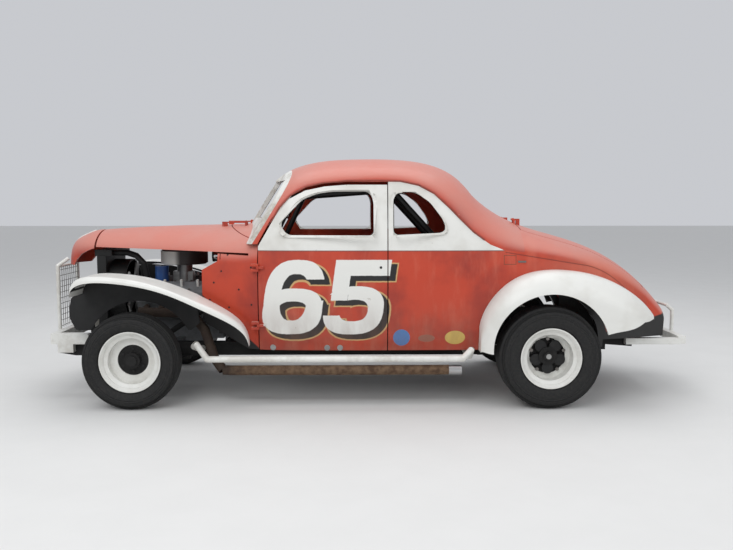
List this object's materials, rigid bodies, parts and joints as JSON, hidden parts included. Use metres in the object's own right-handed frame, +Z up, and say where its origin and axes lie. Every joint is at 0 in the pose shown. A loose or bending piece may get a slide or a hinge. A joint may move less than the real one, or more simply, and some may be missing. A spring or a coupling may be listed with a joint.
{
  "type": "stock car",
  "caption": "Closed coupe rebuilt as an oval-track stock car, with cut-back fenders, open engine sides, a pipe guard along each side, pipe bumpers and wide steel wheels.",
  "frame": {"origin": "on the ground, at the middle of the overall length and width", "axes": "+X from the nose towards the tail, +Y towards the car's right side, +Z up"},
  "size_m": [4.636, 1.7268, 1.7292],
  "materials": {
    "worn_red": "faded orange-red paint",
    "white_paint": "worn white paint",
    "black_paint": "dull black paint",
    "bare_steel": "dull bare steel",
    "grey_iron": "grey cast iron",
    "bare_alloy": "cast alloy",
    "dark_metal": "dark satin paint",
    "blue_paint": "blue paint",
    "hose_rubber": "black rubber hose",
    "rusty_steel": "rusty tan steel",
    "seat_vinyl": "black vinyl",
    "wheel_plastic": "black plastic",
    "tyre": "black rubber"
  },
  "bodies": {
    "body": {"roof": "worn_red", "windshield_frame": "white_paint", "rear_body": "worn_red", "tail_panel": "worn_red", "cowl": "worn_red", "grille_shell": "worn_red", "front_fenders": "white_paint", "rear_fenders": "white_paint", "fender_aprons": "black_paint", "frame_rails": "black_paint", "floor_pan": "black_paint", "front_axle": "black_paint", "steering_column": "black_paint", "rear_axle": "black_paint", "leaf_springs": "bare_steel", "engine_block": "grey_iron", "cylinder_heads": "grey_iron", "carburettor": "bare_alloy", "air_cleaner": "dark_metal", "oil_filter": "blue_paint", "radiator": "black_paint", "radiator_hose": "hose_rubber", "exhaust_pipes": "rusty_steel", "side_bars": "white_paint", "front_bumper": "white_paint", "rear_bumper": "white_paint", "roll_cage": "black_paint", "dashboard": "black_paint", "seat": "seat_vinyl", "fuel_tank": "black_paint"},
    "door_left": {"door_left": "worn_red"},
    "door_right": {"door_right": "worn_red"},
    "hood": {"hood": "worn_red"},
    "decklid": {"decklid": "worn_red"},
    "knuckle_left": {"knuckle_left": "black_paint"},
    "knuckle_right": {"knuckle_right": "black_paint"},
    "tie_rod": {"tie_rod": "bare_steel"},
    "drag_link": {"drag_link": "bare_steel"},
    "pitman_arm": {"pitman_arm": "bare_steel"},
    "steering_wheel": {"steering_wheel": "wheel_plastic"},
    "fan": {"fan": "bare_alloy"},
    "wheel_front_left": {"tyre_front_left": "tyre", "rim_front_left": "white_paint", "hub_front_left": "black_paint"},
    "wheel_front_right": {"tyre_front_right": "tyre", "rim_front_right": "white_paint", "hub_front_right": "black_paint"},
    "wheel_rear_left": {"tyre_rear_left": "tyre", "rim_rear_left": "white_paint", "hub_rear_left": "black_paint"},
    "wheel_rear_right": {"tyre_rear_right": "tyre", "rim_rear_right": "white_paint", "hub_rear_right": "black_paint"}
  },
  "joints": [
    {"name": "steer_left", "type": "hinge", "parent": "body", "child": "knuckle_left", "pos_m": [-1.615, -0.606, 0.33], "axis": [0, 0, 1], "range_deg": [-28, 28]},
    {"name": "steer_right", "type": "hinge", "parent": "body", "child": "knuckle_right", "pos_m": [-1.615, 0.606, 0.33], "axis": [0, 0, 1], "range_deg": [-28, 28]},
    {"name": "tie_rod_swing", "type": "hinge", "parent": "knuckle_left", "child": "tie_rod", "pos_m": [-1.465, -0.606, 0.25], "axis": [0, 0, 1], "range_deg": [-28, 28]},
    {"name": "drag_link_swing", "type": "hinge", "parent": "knuckle_left", "child": "drag_link", "pos_m": [-1.509, -0.606, 0.25], "axis": [0, 0, 1], "range_deg": [-28, 28]},
    {"name": "pitman_swing", "type": "hinge", "parent": "body", "child": "pitman_arm", "pos_m": [-1.615, -0.325, 0.29], "axis": [0, 0, 1], "range_deg": [-28, 28]},
    {"name": "steering_wheel_turn", "type": "hinge", "parent": "body", "child": "steering_wheel", "pos_m": [-0.59235, -0.32, 1.01965], "axis": [0.8366, 0, 0.5478], "range_deg": [-336, 336]},
    {"name": "door_left_swing", "type": "hinge", "parent": "body", "child": "door_left", "pos_m": [-0.7615, -0.682, 0.76], "axis": [0, 0, -1], "range_deg": [0, 60]},
    {"name": "door_right_swing", "type": "hinge", "parent": "body", "child": "door_right", "pos_m": [-0.7615, 0.682, 0.76], "axis": [0, 0, 1], "range_deg": [0, 60]},
    {"name": "hood_lift", "type": "hinge", "parent": "body", "child": "hood", "pos_m": [-0.906, 0, 1.262], "axis": [0, 1, 0], "range_deg": [0, 50]},
    {"name": "decklid_lift", "type": "hinge", "parent": "body", "child": "decklid", "pos_m": [1.072, 0, 1.281], "axis": [0, -1, 0], "range_deg": [0, 60]},
    {"name": "fan_spin", "type": "hinge", "parent": "body", "child": "fan", "pos_m": [-1.793, 0, 0.735], "axis": [1, 0, 0], "continuous": true},
    {"name": "wheel_front_left_spin", "type": "hinge", "parent": "knuckle_left", "child": "wheel_front_left", "pos_m": [-1.615, -0.73, 0.33], "axis": [0, 1, 0], "continuous": true},
    {"name": "wheel_front_right_spin", "type": "hinge", "parent": "knuckle_right", "child": "wheel_front_right", "pos_m": [-1.615, 0.73, 0.33], "axis": [0, 1, 0], "continuous": true},
    {"name": "wheel_rear_left_spin", "type": "hinge", "parent": "body", "child": "wheel_rear_left", "pos_m": [1.235, -0.712, 0.352], "axis": [0, 1, 0], "continuous": true},
    {"name": "wheel_rear_right_spin", "type": "hinge", "parent": "body", "child": "wheel_rear_right", "pos_m": [1.235, 0.712, 0.352], "axis": [0, 1, 0], "continuous": true}
  ],
  "couplings": [
    {"joint": "steer_right", "follows": "steer_left", "ratio": 1},
    {"joint": "tie_rod_swing", "follows": "steer_left", "ratio": -1},
    {"joint": "drag_link_swing", "follows": "steer_left", "ratio": -1},
    {"joint": "pitman_swing", "follows": "steer_left", "ratio": 1},
    {"joint": "steering_wheel_turn", "follows": "steer_left", "ratio": 12}
  ]
}
